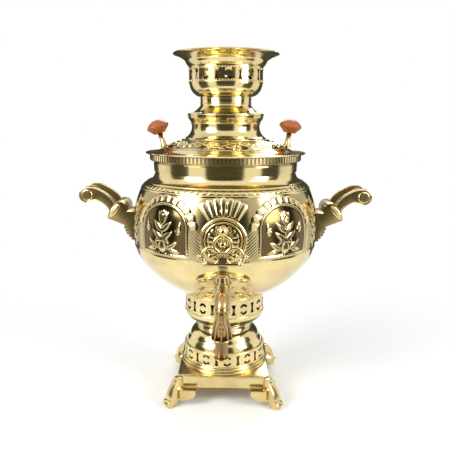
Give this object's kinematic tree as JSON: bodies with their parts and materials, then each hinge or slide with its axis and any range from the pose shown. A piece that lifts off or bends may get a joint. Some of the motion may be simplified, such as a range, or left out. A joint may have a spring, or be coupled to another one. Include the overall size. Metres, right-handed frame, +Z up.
{
  "type": "samovar",
  "caption": "Round brass samovar on a pierced pedestal with feet: lift-off lid and teapot crown, turning tap key, two scroll handles with wooden grips.",
  "frame": {"origin": "on the floor under the middle of the samovar, between the four feet", "axes": "+Z up, -Y towards the front where the tap is, +X to the right as seen from the front"},
  "size_m": [0.3658, 0.2986, 0.4346],
  "materials": {
    "sheet_brass": "polished",
    "cast_brass": "polished",
    "tube_brass": "sooty",
    "turned_wood": "varnished",
    "iron": "rough",
    "steel": "plain",
    "seal": "matt"
  },
  "bodies": {
    "base": {"foot_front_right": "cast_brass", "foot_rear_right": "cast_brass", "foot_rear_left": "cast_brass", "foot_front_left": "cast_brass", "plinth": "cast_brass", "base_ring": "cast_brass", "foot_screws": "steel", "lower_gallery": "sheet_brass", "waist": "sheet_brass", "upper_gallery": "sheet_brass", "globe_bowl": "sheet_brass", "globe_belly": "sheet_brass", "globe_neck": "sheet_brass", "rim_band": "sheet_brass", "fire_tube": "tube_brass", "grate": "iron", "handle_grip_left": "turned_wood", "handle_grip_right": "turned_wood", "tap_lock_nut": "steel", "tap_rosette": "cast_brass", "tap_barrel": "cast_brass", "tap_spout": "cast_brass", "tap_seal": "seal", "handle_bracket_left": "cast_brass", "handle_arm_front_left": "cast_brass", "handle_arm_rear_left": "cast_brass", "handle_rosettes_left": "cast_brass", "handle_rod_left": "steel", "handle_rivets_left": "cast_brass", "handle_bracket_right": "cast_brass", "handle_arm_front_right": "cast_brass", "handle_arm_rear_right": "cast_brass", "handle_rosettes_right": "cast_brass", "handle_rod_right": "steel", "handle_rivets_right": "cast_brass"},
    "lid": {"lid_plate": "sheet_brass", "lid_collar": "sheet_brass", "knob_stalk_left": "cast_brass", "knob_stalk_right": "cast_brass", "knob_left": "turned_wood", "knob_right": "turned_wood", "knob_nut_left": "steel", "knob_nut_right": "steel"},
    "crown": {"crown_neck": "sheet_brass", "crown_bowl": "sheet_brass", "crown_drum": "sheet_brass", "crown_dish": "sheet_brass"},
    "tap_turner": {"tap_plug": "cast_brass", "plug_washer": "steel", "plug_nut": "steel", "tap_key": "cast_brass"}
  },
  "joints": [
    {"name": "lid_lift", "type": "slide", "parent": "base", "child": "lid", "axis": [0, 0, 1], "range_m": [0, 0.12]},
    {"name": "crown_lift", "type": "slide", "parent": "lid", "child": "crown", "axis": [0, 0, 1], "range_m": [0, 0.08]},
    {"name": "tap_turn", "type": "hinge", "parent": "base", "child": "tap_turner", "pos_m": [0, -0.147, 0.17], "axis": [0, 0, 1], "continuous": true}
  ]
}
